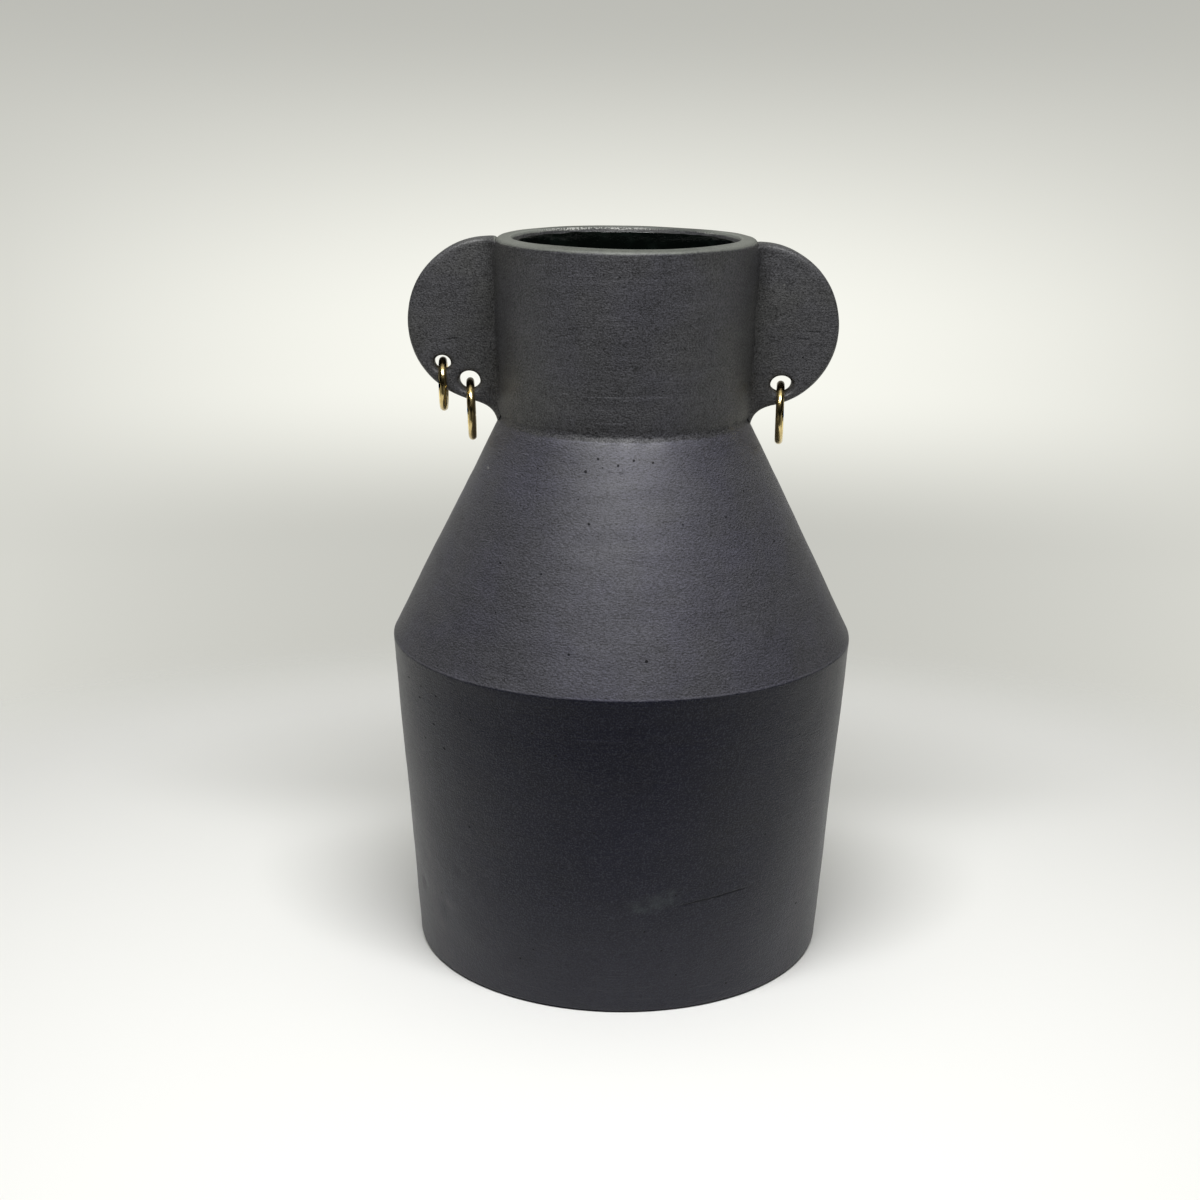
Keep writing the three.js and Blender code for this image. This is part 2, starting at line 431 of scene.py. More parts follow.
# The clay's tint where it is plain and where it is bluish, the bluish tint also serving as a painted
# highlight tint down the front, and the tones that lie over it, among them painted bounce light by
# the base and painted shade in hollows.
PLAIN_TINT = (1.01, 1.01, 0.98)
BLUISH_AND_HIGHLIGHT_TINT = (0.965, 0.955, 1.15)
UNDER_EDGE_TONE = (0.019, 0.019, 0.022)
BASE_BOUNCE_TONE = (0.0235, 0.0232, 0.0330)
SCUFF_TONE = (0.036, 0.036, 0.044)
DUST_TONE = (0.019, 0.021, 0.034)
CHALKY_TONE = (0.045, 0.055, 0.058)
LINE_TONE = (0.06, 0.06, 0.075)
HOLLOW_SHADE_TONE = (0.002, 0.002, 0.004)
SPECK_TONE = (0.20, 0.20, 0.18)

# Tones of the lip: painted reflection towards its two ends, painted highlights along its inner edge
# and on its ridge, a painted glint, and painted shade in a pit.
LIP_END_REFLECTION_TONE = (0.14, 0.145, 0.13)
INNER_LIP_HIGHLIGHT_TONE = (0.19, 0.20, 0.18)
RIDGE_HIGHLIGHT_TONE = (0.10, 0.105, 0.095)
GLINT_TONE = (0.60, 0.60, 0.57)
LIP_PIT_SHADE_TONE = (0.02, 0.02, 0.02)


def stroke(x, z, ends, width, wobble):
    """A ragged line between two ends, seen from the front: 1 on it and 0 off it. Width is in mm."""
    (x_start, z_start), (x_end, z_end) = ends
    length = math.hypot(x_end - x_start, z_end - z_start)
    x_step = (x_end - x_start) / length
    z_step = (z_end - z_start) / length
    right = x - x_start * MM
    up = z - z_start * MM
    along = right * x_step + up * z_step
    across = abs(up * x_step - right * z_step + wobble)
    reach = length * MM
    ends_mask = along.rise(-0.1 * reach, 0.15 * reach) * along.rise(1.1 * reach, 0.8 * reach)
    return across.rise(width * MM, 0.25 * width * MM) * ends_mask


def strokes(x, z, lines, width, wobble):
    """Several ragged lines, seen from the front."""
    return sum(stroke(x, z, ends, width, wobble) for ends in lines)


def spots(x, z, places):
    """Single round spots, seen from the front."""
    total = 0.0
    for aside, height, size in places:
        distance = ((x - aside * MM) ** 2 + (z - height * MM) ** 2) ** 0.5
        total = total + distance.rise(size * MM, 0.55 * size * MM)
    return total


class Clay:
    """The clay's zones and its grain, which its marks, colour, gloss and relief are made from."""

    def __init__(self, nodes):
        sizes = bpy.context.scene.vase_sizes
        edge = sizes.shoulder_height
        foot = sizes.neck_foot
        place = nodes.place()
        x, y, z = nodes.axes(place)
        self.nodes = nodes
        self.place = place
        self.x = x
        self.y = y
        self.z = z
        self.aside = abs(x)
        self.radius = (x * x + y * y) ** 0.5
        self.front = y.rise(0.0, -10 * MM)

        self.clouds = nodes.noise(place, 45 * MM, 2)
        self.patches = nodes.noise(place, 12 * MM, 3, 0.6)
        self.mottle = nodes.noise(place, 3.4 * MM, 3, 0.6)
        self.leather = nodes.noise(nodes.stretched(place, (1, 1, 1.7)), 1.0 * MM, 2, 0.5)
        self.grog = nodes.noise(place, 0.6 * MM, 1, 0.5)
        self.turning = nodes.noise(nodes.stretched(place, (1, 1, 16)), 30 * MM, 3, 0.6)
        self.scraping = nodes.noise(nodes.stretched(place, (1, 1, 20)), 11 * MM, 3, 0.6)
        self.broken = nodes.noise(place, 2.2 * MM, 1).rise(0.42, 0.58)
        self.wobble = (self.mottle - 0.5) * (1.6 * MM)

        self.on_wall = (z + self.wobble * 0.4).rise(edge + 0.3 * MM, edge - 0.3 * MM)
        self.on_neck = (z + self.wobble).rise(foot - 2.6 * MM, foot - 1.4 * MM)
        self.on_cone = 1 - self.on_wall - self.on_neck
        self.above_edge = z - edge
        self.above_foot = z - foot + self.wobble * 0.6
        self.grain = (self.leather - 0.5) * (self.on_cone * 2.4 + self.on_neck)
        self.grain = self.grain + (self.grog - 0.5) * (self.on_cone * 2.6 + self.on_neck * 4.6)

        self.lip_foot = sizes.height - 1.5 * MM
        self.lip_line = z + (self.patches - 0.5) * (1.3 * MM) + (self.mottle - 0.5) * (0.5 * MM)
        at_top = self.lip_line.rise(self.lip_foot - 0.3 * MM, self.lip_foot + 0.3 * MM)
        rim = sizes.rim_radius
        self.wiped = at_top * self.radius.rise(rim + 0.7 * MM, rim + 0.3 * MM)
        # Painted shade just under the lip, on the front.
        self.shade_under_lip = (self.lip_foot - self.lip_line).rise(2.6 * MM, 0.2 * MM) * self.front


class Marks:
    """What hands, tools and fire left in the clay, with painted shade at the neck's foot and in the
    ears' folds, and a painted highlight on the shoulder's edge. Each mark is 1 on it and 0 off it.
    """

    def __init__(self, clay):
        nodes = clay.nodes
        place = clay.place
        x = clay.x
        z = clay.z
        front = clay.front
        wobble = clay.wobble
        self.mark_neck_foot(clay)

        self.pits = nodes.dots(place, 7.5 * MM, 0.5 * MM, 0.22)
        small_pits = nodes.dots(place, 2.9 * MM, 0.30 * MM, 0.22) * (1 - clay.on_wall * 0.8)
        holes = spots(x, z, PINHOLES) * front
        creases = strokes(x, z, EAR_CREASES, 0.5, wobble * 0.7) * front
        crack = stroke(x, z, CRACK, 0.55, wobble * 0.7) * front
        grooves = strokes(x, z, FOOT_GROOVES, 0.6, wobble * 0.8) * clay.broken * front
        hollow = self.pits + small_pits * 0.6 + holes + crack * 0.9 + grooves * 0.4
        self.hollow = (hollow + self.torn * 0.55 + creases).held(0.0, 1.0)

        strewn = nodes.dots(place, 11 * MM, 0.3 * MM, 0.20)
        self.specks = strewn + spots(x, z, PALE_GRAINS) * front
        self.scratches = clay.scraping.rise(0.64, 0.74) * clay.patches.rise(0.50, 0.62)
        self.streaks = clay.turning.rise(0.52, 0.68) * clay.on_neck
        scuffed = clay.scraping.rise(0.54, 0.66) * clay.patches.rise(0.42, 0.56)
        self.scuffs = scuffed * z.rise(48 * MM, 12 * MM) * clay.on_wall
        lines = strokes(x, z, WALL_LINES, 0.5, wobble * 0.4) * 0.5
        lines = lines + strokes(x, z, NECK_LINES, 0.6, wobble * 0.4) * 0.7
        self.lines = lines * front * (0.35 + clay.broken * 0.65)
        chalked = stroke(x, z, PALE_PATCH, 5.0, wobble * 2)
        self.pale = chalked * clay.mottle.rise(0.20, 0.75) * front
        # Painted highlight: a thin light line along the shoulder's crisp edge.
        edge = clay.above_edge
        self.edge_highlight = edge.rise(-0.3 * MM, 0.1 * MM) * edge.rise(0.9 * MM, 0.5 * MM)

        # Painted shade in the fold where the neck meets each ear.
        neck_radius = bpy.context.scene.vase_sizes.neck_radius
        from_fold = (clay.aside - neck_radius - 1.5 * MM) ** 2 + (abs(clay.y) - 6 * MM) ** 2
        self.fold = (from_fold ** 0.5).rise(7.5 * MM, 0.0) * clay.on_neck

    def mark_neck_foot(self, clay):
        """The clay torn where the neck's foot was pressed onto the cone, plainest in front, with
        painted shade over it and the pressed edge under it.
        """
        nodes = clay.nodes
        above = clay.above_foot
        middle = clay.aside.rise(36 * MM, 14 * MM) * clay.front
        torn = above.rise(-2.4 * MM, -1.4 * MM) * above.rise(2.6 * MM, 0.2 * MM)
        gaps = nodes.noise(nodes.stretched(clay.place, (1, 1, 1.6)), 1.5 * MM, 2, 0.6)
        self.torn = torn * gaps.rise(0.48, 0.66) * middle
        shadowed = above.rise(-2.4 * MM, -1.8 * MM) * above.rise(9 * MM, 1 * MM) * clay.front
        self.shadowed = shadowed * (clay.aside.rise(46 * MM, 34 * MM) - middle * 0.45)
        pressed = above.rise(-3.2 * MM, -2.7 * MM) * above.rise(-1.9 * MM, -2.4 * MM) * middle
        self.pressed_edge = pressed * (0.4 + clay.broken * 0.6)


def clay_colour(clay, marks):
    """Charcoal wall, burnished cone and greyer neck, with what marks and dust do to them, and
    painted
    light and shade: a bluish highlight tint down the front, bounce light by the base, a highlight on
    the shoulder's edge, and shade in hollows, in the ears' folds and at the neck's foot.
    """
    nodes = clay.nodes
    colours = bpy.context.scene.vase_colours
    level = (
        1.0
        + (clay.clouds - 0.5) * 0.6
        + (clay.patches - 0.5) * 0.5
        + (clay.mottle - 0.5) * 0.35
        + (clay.turning - 0.5) * 0.6
        + clay.grain * 0.60
        # Painted shade in the folds at the ears' roots.
        - marks.fold * 0.26
        + marks.scratches * 0.5
        + marks.streaks * 0.14
        + marks.lines * 0.8
        + marks.pressed_edge * 0.4
        - marks.shadowed * 0.24
        # Painted highlight along the shoulder's edge.
        + marks.edge_highlight * 0.6
    )
    bluish = nodes.noise(clay.place, 27 * MM, 2).rise(0.42, 0.62) * 0.45
    # Painted highlight tint: bluer down the middle of the front, where the strip light's sheen
    # falls.
    bluish = bluish + clay.aside.rise(55 * MM, 0.0) * clay.front * 0.55
    # Painted bounce light from the floor: the wall lighter towards its foot.
    bounce_by_base = clay.z.rise(60 * MM, 4 * MM) * clay.on_wall
    bounce_by_base = bounce_by_base * (0.6 + clay.patches * 0.4) * (0.7 + clay.grog * 0.6)
    dust = clay.grog.rise(0.50, 0.66) * clay.on_wall * (0.5 + clay.patches)

    tone = nodes.blend(clay.on_wall, colours.cone, colours.wall)
    tone = nodes.blend(clay.on_neck, tone, colours.neck)
    tone = nodes.shaded(tone, nodes.blend(bluish, PLAIN_TINT, BLUISH_AND_HIGHLIGHT_TINT))
    tone = nodes.shaded(tone, level.at_least(0.08))
    return nodes.layered(
        tone,
        # Lighter on the wall just under the shoulder's edge.
        (clay.above_edge.rise(-16 * MM, -1 * MM) * clay.on_wall * 0.2, UNDER_EDGE_TONE),
        (bounce_by_base, BASE_BOUNCE_TONE),
        (marks.scuffs * 0.5, SCUFF_TONE),
        (dust * 0.7, DUST_TONE),
        (marks.pale * 0.45, CHALKY_TONE),
        (marks.lines * clay.on_wall * 0.3, LINE_TONE),
        # Painted shade in pits, pinholes, the crack, grooves, torn clay and creases.
        (marks.hollow * 0.85, HOLLOW_SHADE_TONE),
        (marks.specks * 0.7, SPECK_TONE),
    )


def lip_colour(clay, marks):
    """The lip, wiped to the pale body and mottled, with painted highlights along its inner edge and
    ridge, painted reflection towards its ends, painted shade and painted glints on its far side, and
    painted shade in its pits.
    """
    nodes = clay.nodes
    sizes = bpy.context.scene.vase_sizes
    inner_edge = sizes.rim_radius - sizes.neck_wall
    level = (
        1.0
        + (clay.patches - 0.5) * 0.9
        + (clay.mottle - 0.5)
        + (clay.grog - 0.5) * 0.8
    )
    # Painted highlights: along the lip's inner edge and on its rounded ridge.
    bright = clay.radius.rise(inner_edge + 1.4 * MM, inner_edge + 0.5 * MM)
    ridge = clay.lip_line.rise(clay.lip_foot + 0.9 * MM, clay.lip_foot + 0.5 * MM)
    ridge = ridge * clay.radius.rise(inner_edge + 4 * MM, inner_edge + 5 * MM)
    far_side = clay.y.rise(22 * MM, 36 * MM)
    glint = far_side * clay.radius.rise(inner_edge + 0.6 * MM, inner_edge + 0.4 * MM)
    glint = glint * clay.grog.rise(0.46, 0.56)

    lip = nodes.layered(
        nodes.shaded(bpy.context.scene.vase_colours.lip, level),
        # Painted reflection: lighter towards the lip's two ends.
        (clay.aside.rise(18 * MM, 46 * MM) * 0.55, LIP_END_REFLECTION_TONE),
        # Painted highlights along the lip's inner edge and on its ridge.
        (bright * 0.6, INNER_LIP_HIGHLIGHT_TONE),
        (ridge * 0.5, RIDGE_HIGHLIGHT_TONE),
    )
    # Painted shade on the lip's far side.
    lip = nodes.shaded(lip, 1 - far_side * 0.45)
    # Painted glints on the far side, and painted shade in the lip's pits.
    return nodes.layered(lip, (glint * 0.6, GLINT_TONE), (marks.pits * 0.7, LIP_PIT_SHADE_TONE))


def clay_skin(clay, marks):
    """The sheen of a thin fired skin, broken in every hollow and weak on the dusty wall."""
    on_cone = clay.on_cone * (0.80 + clay.z.rise(160 * MM, 192 * MM) * 0.2)
    on_wall = 0.205 - clay.aside.rise(75 * MM, 25 * MM) * 0.065 + (clay.grog - 0.5) * 0.35
    skin = on_cone + clay.on_neck * 0.74 + clay.on_wall * on_wall
    uneven = 1 + clay.grain * 0.35 + (clay.mottle - 0.5) * 0.3
    # Less sheen in the painted shade above the neck's foot and in the ears' folds.
    uneven = uneven - marks.shadowed * 0.15 - marks.fold * 0.3
    skin = skin * uneven * (1 - marks.hollow * 0.85)
    return skin.held(0.0, 1.0) * (1 - clay.wiped * 0.5)


def clay_relief(clay, marks):
    """How high the surface stands, from its grain to its pinholes."""
    return (
        (clay.leather - 0.5) * (clay.on_cone * 2.0 + clay.on_neck * 0.6)
        + (clay.grog - 0.5) * 0.6
        + (clay.mottle - 0.5) * 0.35
        + (clay.scraping - 0.5) * 0.25
        - marks.hollow * 0.9
        + marks.scratches * 0.15
        + marks.lines * 0.3
        + marks.specks * 0.2
        + marks.pressed_edge * 0.4
    )


def stoneware():
    """Dry charcoal clay: leathery grain, grog, pinholes, scraped lines and a lip wiped pale.

    The body and the ears share it, so it is made only once.
    """
    if "charcoal_stoneware" in bpy.data.materials:
        return bpy.data.materials["charcoal_stoneware"]
    material, nodes = new_material("charcoal_stoneware")
    clay = Clay(nodes)
    marks = Marks(clay)
    # The body darkened by the painted shade under the lip.
    body = nodes.shaded(clay_colour(clay, marks), 1 - clay.shade_under_lip * 0.22)
    dryness = 0.64 - clay.on_wall * 0.26 + (clay.mottle - 0.5) * 0.08
    nodes.surface(
        Base_Color=nodes.blend(clay.wiped, body, lip_colour(clay, marks)),
        Roughness=dryness + marks.hollow * 0.3 + clay.wiped * 0.05,
        Specular_IOR_Level=0.22,
        Coat_Weight=clay_skin(clay, marks),
        Coat_Roughness=0.51,
        Coat_IOR=1.6,
        Normal=nodes.bump(clay_relief(clay, marks), 0.42 * MM),
    )
    return material


def liner_glaze():
    """Thick glossy glaze, nearly black, pooled and slightly rippled."""
    colours = bpy.context.scene.vase_colours
    material, nodes = new_material("liner_glaze")
    place = nodes.place()
    ripple = nodes.noise(place, 7 * MM, 3)
    peel = nodes.noise(place, 1.6 * MM, 2)
    green = tuple(part * 2.6 for part in colours.glaze)
    nodes.surface(
        Base_Color=nodes.blend(ripple.rise(0.45, 0.75), colours.glaze, green),
        Roughness=0.07 + peel * 0.06,
        Specular_IOR_Level=0.55,
        Normal=nodes.bump(ripple * 0.8 + peel * 0.3, 0.25 * MM),
    )
    return material


# Heights above which the wire is painted darker, as shade inside its hole, on the outer hoop and on
# the other two, and how far out from the vase's axis the outer hoop starts.
OUTER_CAP = 230.6 * MM
OTHER_CAP = 222.8 * MM
BETWEEN_HOOPS = 64.5 * MM
HOLE_SHADE_BRASS = (0.035, 0.022, 0.010)


def brass():
    """Polished brass wire, faintly scuffed and tarnished, with painted shade where it hangs in its
    hole.
    """
    colours = bpy.context.scene.vase_colours
    material, nodes = new_material("brass_wire")
    place = nodes.place()
    x, _, z = nodes.axes(place)
    cloud = nodes.noise(place, 5 * MM, 3)
    fine = nodes.noise(place, 0.5 * MM, 2)
    scuffs = nodes.dots(place, 1.7 * MM, 0.16 * MM, 0.3)
    dulled = cloud.rise(0.42, 0.80)
    outer = abs(x).rise(BETWEEN_HOOPS - 0.5 * MM, BETWEEN_HOOPS + 0.5 * MM)
    # Painted shade where the wire hangs inside its hole.
    hole_shade = (z - OTHER_CAP - outer * (OUTER_CAP - OTHER_CAP)).rise(-0.6 * MM, 1.2 * MM)
    metal = nodes.blend(dulled * 0.7 + scuffs * 0.2, colours.brass, colours.tarnish)
    nodes.surface(
        Base_Color=nodes.blend(hole_shade * 0.75, metal, HOLE_SHADE_BRASS),
        Metallic=1.0,
        Roughness=0.17 + dulled * 0.13 + (fine - 0.5) * 0.06,
        Normal=nodes.bump(fine * 0.5 - scuffs * 0.6 + cloud * 0.6, 0.05 * MM),
    )
    return material


def floor_finish():
    """Pale paper that fades into the backdrop all round."""
    stage = bpy.context.scene.vase_stage
    material, nodes = new_material("pale_floor")
    place = nodes.place()
    x, y, _ = nodes.axes(place)
    darker = tuple(part * 0.985 for part in stage.floor)
    paper = nodes.add("ShaderNodeBsdfPrincipled", None, {
        "Base Color": nodes.blend(nodes.noise(place, 0.25, 2), darker, stage.floor),
        "Roughness": 0.75,
        "Specular IOR Level": 0.2,
    })
    around = ((x / FLOOR_STRETCH) ** 2 + y * y) ** 0.5
    around = around.rise(FLOOR_FADE_START, FLOOR_FADE_END)
    fade = around.at_least(y.rise(-FRONT_FADE_START, -FRONT_FADE_END))
    clear = nodes.add("ShaderNodeBsdfTransparent")
    faded = nodes.add("ShaderNodeMixShader", None, {0: fade, 1: paper, 2: clear})
    nodes.add("ShaderNodeOutputMaterial", None, {"Surface": faded})
    return material


def finished(name, bm, material, body, replaced):
    """Turn a bmesh into a shown piece that rides on a body and stands for CAD nodes."""
    mesh = bpy.data.meshes.new(name)
    bm.to_mesh(mesh)
    bm.free()
    mesh.shade_smooth()
    mesh.materials.append(material)
    piece = bpy.data.objects.new(name, mesh)
    bpy.context.scene.collection.objects.link(piece)
    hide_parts(*replaced)
    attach(piece, body)
    return piece


class Line:
    """A straight stretch of the profile: radius as a function of height."""

    def __init__(self, slope, foot):
        self.slope = slope
        self.foot = foot

    @classmethod
    def between(cls, low_radius, low, high_radius, high):
        slope = (high_radius - low_radius) / (high - low)
        return cls(slope, low_radius - slope * low)

    def at(self, height):
        return self.foot + self.slope * height

    def moved_in(self, distance):
        return Line(self.slope, self.foot - distance)

    def meets(self, other):
        height = (other.foot - self.foot) / (self.slope - other.slope)
        return self.at(height), height


def outside_lines():
    """The wall, cone and neck seen from outside."""
    sizes = bpy.context.scene.vase_sizes
    foot = (sizes.base_radius, 0)
    edge = (sizes.shoulder_radius, sizes.shoulder_height)
    neck_foot = (sizes.neck_radius, sizes.neck_foot)
    rim = (sizes.rim_radius, sizes.height)
    return (
        Line.between(*foot, *edge),
        Line.between(*edge, *neck_foot),
        Line.between(*neck_foot, *rim),
    )


def inside_lines(inset=0.0):
    """The wall, cone and neck seen from inside, moved into the hollow by an inset."""
    sizes = bpy.context.scene.vase_sizes
    wall, cone, neck = outside_lines()
    return (
        wall.moved_in(sizes.wall + inset),
        cone.moved_in(sizes.cone_wall + inset),
        neck.moved_in(sizes.neck_wall + inset),
    )


def turned(corners, steps, spacing):
    """A body turned about Z from (radius, height, easing) corners, first and last on the axis."""
    bm = bmesh.new()
    points = [bm.verts.new((radius, 0, height)) for radius, height, _ in corners]
    for start, end in zip(points, points[1:]):
        bm.edges.new((start, end))
    for point, (_, _, easing) in zip(points, corners):
        if easing:
            bmesh.ops.bevel(
                bm, geom=[point], offset=easing, offset_type="OFFSET", affect="VERTICES",
                segments=5, profile=0.5, material=-1,
            )
    for edge in list(bm.edges):
        cuts = int(edge.calc_length() / spacing)
        if cuts:
            bmesh.ops.subdivide_edges(bm, edges=[edge], cuts=cuts)
    bmesh.ops.spin(
        bm, geom=bm.verts[:] + bm.edges[:], cent=(0, 0, 0), axis=UP, dvec=(0, 0, 0),
        angle=2 * math.pi, steps=steps, use_merge=True, use_duplicate=False,
    )
    bmesh.ops.remove_doubles(bm, verts=bm.verts, dist=MERGE_DISTANCE)
    bmesh.ops.recalc_face_normals(bm, faces=bm.faces)
    return bm


# Dents in the clay: angle from the front and height of the middle, half width and half height, and
# depth, in degrees and mm.
DENTS = (
    (-40.0, 131.4, 7.0, 2.0, 0.55),
    (-30.0, 131.9, 5.0, 1.6, 0.45),
    (-24.5, 131.2, 2.6, 1.2, 0.35),
    (-45.5, 47.0, 3.0, 2.2, 0.40),
    (-53.0, 27.0, 5.5, 4.5, 0.60),
    (-67.0, 30.5, 3.5, 3.2, 0.60),
    (-63.0, 46.0, 4.0, 2.0, 0.30),
    (17.5, 19.0, 3.5, 0.9, 0.25),
    (3.0, 143.9, 2.6, 0.8, 0.35),
    (6.4, 139.4, 2.2, 0.9, 0.35),
    (-13.1, 140.8, 1.6, 0.8, 0.30),
    (148.0, 60.0, 9.0, 3.0, 0.45),
    (-155.0, 150.0, 6.0, 1.8, 0.40),
    (96.0, 90.0, 4.0, 2.4, 0.40),
    (122.0, 24.0, 5.0, 2.6, 0.45),
)

# The crease at the foot of the neck: half its width, and its depth.
FOOT_BAND = 2.2 * MM
FOOT_CUT = 0.55 * MM

# How far the neck's clay is drawn out towards each ear, and over what half width.
DRAWN_OUT = 2.7 * MM
DRAWN_WIDTH = 9.0 * MM


def lump(point, size, height):
    """How far the clay stands up at a point, in soft lumps of a size and a height in mm."""
    return noise.noise(point / (size * MM)) * height * MM


def dents_at(point):
    """How far the clay is pushed in at a point of the outside."""
    angle = math.degrees(math.atan2(point.x, -point.y))
    radius = math.hypot(point.x, point.y)
    depth = 0.0
    for middle, height, wide, tall, deep in DENTS:
        turn = (angle - middle + 180) % 360 - 180
        aside = math.radians(turn) * radius / (wide * MM)
        above = (point.z - height * MM) / (tall * MM)
        distance = aside ** 2 + above ** 2
        if distance < 4:
            ragged = 0.7 + 0.6 * noise.noise(point / (2.5 * MM))
            depth += deep * MM * math.exp(-1.6 * distance) * ragged
    return depth


def drawn_out(point):
    """How far the neck's clay is drawn out onto the nearer ear at a place on its outside."""
    sizes = bpy.context.scene.vase_sizes
    above_foot = (point.z - sizes.neck_foot + 2 * MM) / (2.5 * MM)
    below_lip = (sizes.height - 1.5 * MM - point.z) / (5 * MM)
    fade = min(1.0, max(0.0, above_foot)) * min(1.0, max(0.0, below_lip))
    return DRAWN_OUT * fade * math.exp(-((point.y / DRAWN_WIDTH) ** 2))


def worked(point, normal):
    """Where a point of the outside lies once hands and scraper have been over it."""
    sizes = bpy.context.scene.vase_sizes
    lumps = lump(point, 38, 0.32) + lump(point, 13, 0.10)
    lumps += lump(Vector((point.x, point.y, point.z * 7)), 30, 0.07)
    crease = math.exp(-(((point.z - sizes.neck_foot) / FOOT_BAND) ** 2))
    ragged = 0.5 + 0.9 * noise.noise(Vector((point.x, point.y, 0)) / (5 * MM))
    depth = crease * FOOT_CUT * ragged + dents_at(point)
    outward = normal.x * point.x + normal.y * point.y
    if outward > 0 and abs(point.x) > sizes.neck_radius / 2:
        lumps += drawn_out(point)
    return point + normal * (lumps - depth)


def work_the_clay(bm, keep_below):
    """Move the outside's points by hand wear, less towards the foot, which stays flat."""
    bm.normal_update()
    moved = {}
    for vert in bm.verts:
        fade = min(1.0, max(0.0, (vert.co.z - keep_below) / (4 * MM)))
        moved[vert] = vert.co.lerp(worked(vert.co, vert.normal), fade)
    for vert, place in moved.items():
        vert.co = place


class VASE_OT_clay_body(bpy.types.Operator):
    """Make the turned clay body, from the underside over the lip to the inside"""

    bl_idname = "vase.clay_body"
    bl_label = "Clay Body"

    def execute(self, context):
        sizes = context.scene.vase_sizes
        wall, cone, neck = inside_lines()
        bm = turned(
            [
                (0, 0, 0),
                (sizes.base_radius, 0, 1.5 * MM),
                (sizes.shoulder_radius, sizes.shoulder_height, 0.6 * MM),
                (sizes.neck_radius, sizes.neck_foot, 0.9 * MM),
                (sizes.rim_radius, sizes.height - 0.7 * MM, 1.6 * MM),
                (sizes.rim_radius - sizes.neck_wall + 0.6 * MM, sizes.height, 1.0 * MM),
                (neck.at(sizes.height - 3 * MM), sizes.height - 3 * MM, 0.6 * MM),
                (*cone.meets(neck), 2.5 * MM),
                (*wall.meets(cone), 3.0 * MM),
                (wall.at(sizes.floor), sizes.floor, 2.0 * MM),
                (0, sizes.floor, 0),
            ],
            sizes.turn_steps,
            spacing=2.2 * MM,
        )
        work_the_clay(bm, keep_below=0.5 * MM)
        replaced = ("base_slab", "lower_wall", "shoulder_cone", "neck_collar")
        finished("clay_body", bm, stoneware(), VESSEL, replaced)
        return {"FINISHED"}


# Size of the ears' faces, and how many times their edges are smoothed.
EAR_FACE = 0.6 * MM
EAR_SMOOTHINGS = 5


def even_copy(node, voxel):
    """A merged copy of a CAD node with small even faces."""
    bm = bmesh.new()
    bm.from_mesh(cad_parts[node].data)
    bmesh.ops.remove_doubles(bm, verts=bm.verts, dist=MERGE_DISTANCE)
    merged = bpy.data.meshes.new(node + "_merged")
    bm.to_mesh(merged)
    bm.free()
    rough = bpy.data.objects.new(node + "_merged", merged)
    bpy.context.scene.collection.objects.link(rough)
    remesh = rough.modifiers.new("even", "REMESH")
    remesh.mode = "VOXEL"
    remesh.voxel_size = voxel
    shaped = rough.evaluated_get(bpy.context.evaluated_depsgraph_get())
    even = bpy.data.meshes.new_from_object(shaped)
    bm = bmesh.new()
    bm.from_mesh(even)
    bpy.data.objects.remove(rough)
    bpy.data.meshes.remove(merged)
    bpy.data.meshes.remove(even)
    return bm


def flared(point, normal):
    """A point of an ear with its root pushed into the neck and its clay smeared out round it."""
    sizes = bpy.context.scene.vase_sizes
    _, cone, neck = outside_lines()
    radius = math.hypot(point.x, point.y)
    from_neck = radius - neck.at(point.z)
    from_cone = (radius - cone.at(point.z)) / math.hypot(1, cone.slope)
    by_cone = point.z < sizes.neck_foot + 2 * MM
    distance = min(from_neck, from_cone) if by_cone else from_neck
    flare = sizes.root_flare
    if distance > flare:
        return point.copy()
    spare = min(flare, flare - distance)
    uneven = 0.85 + 0.5 * noise.noise(point / (9 * MM))
    spread = (flare - math.sqrt(max(0.0, flare ** 2 - spare ** 2))) * uneven
    sink = 0.10 * (1 - max(0.0, distance) / flare) * flare
    inward = Vector((point.x, point.y, 0)).normalized() * -sink
    return point + inward + Vector((0, spread * normal.y, 0))


class VASE_OT_ears(bpy.types.Operator):
    """Make the two clay ears with eased holes, smeared onto the neck"""

    bl_idname = "vase.ears"
    bl_label = "Ears"

    def execute(self, context):
        material = stoneware()
        for node in ("left_ear", "right_ear"):
            bm = even_copy(node, EAR_FACE)
            for _ in range(EAR_SMOOTHINGS):
                bmesh.ops.smooth_vert(
                    bm, verts=bm.verts, factor=0.5,
                    use_axis_x=True, use_axis_y=True, use_axis_z=True,
                )
            bm.normal_update()
            moved = {vert: flared(vert.co, vert.normal) for vert in bm.verts}
            for vert, place in moved.items():
                lumps = lump(place, 17, 0.28) + lump(place, 6, 0.08)
                vert.co = place + vert.normal * lumps
            finished(node + "_clay", bm, material, VESSEL, (node,))
        return {"FINISHED"}


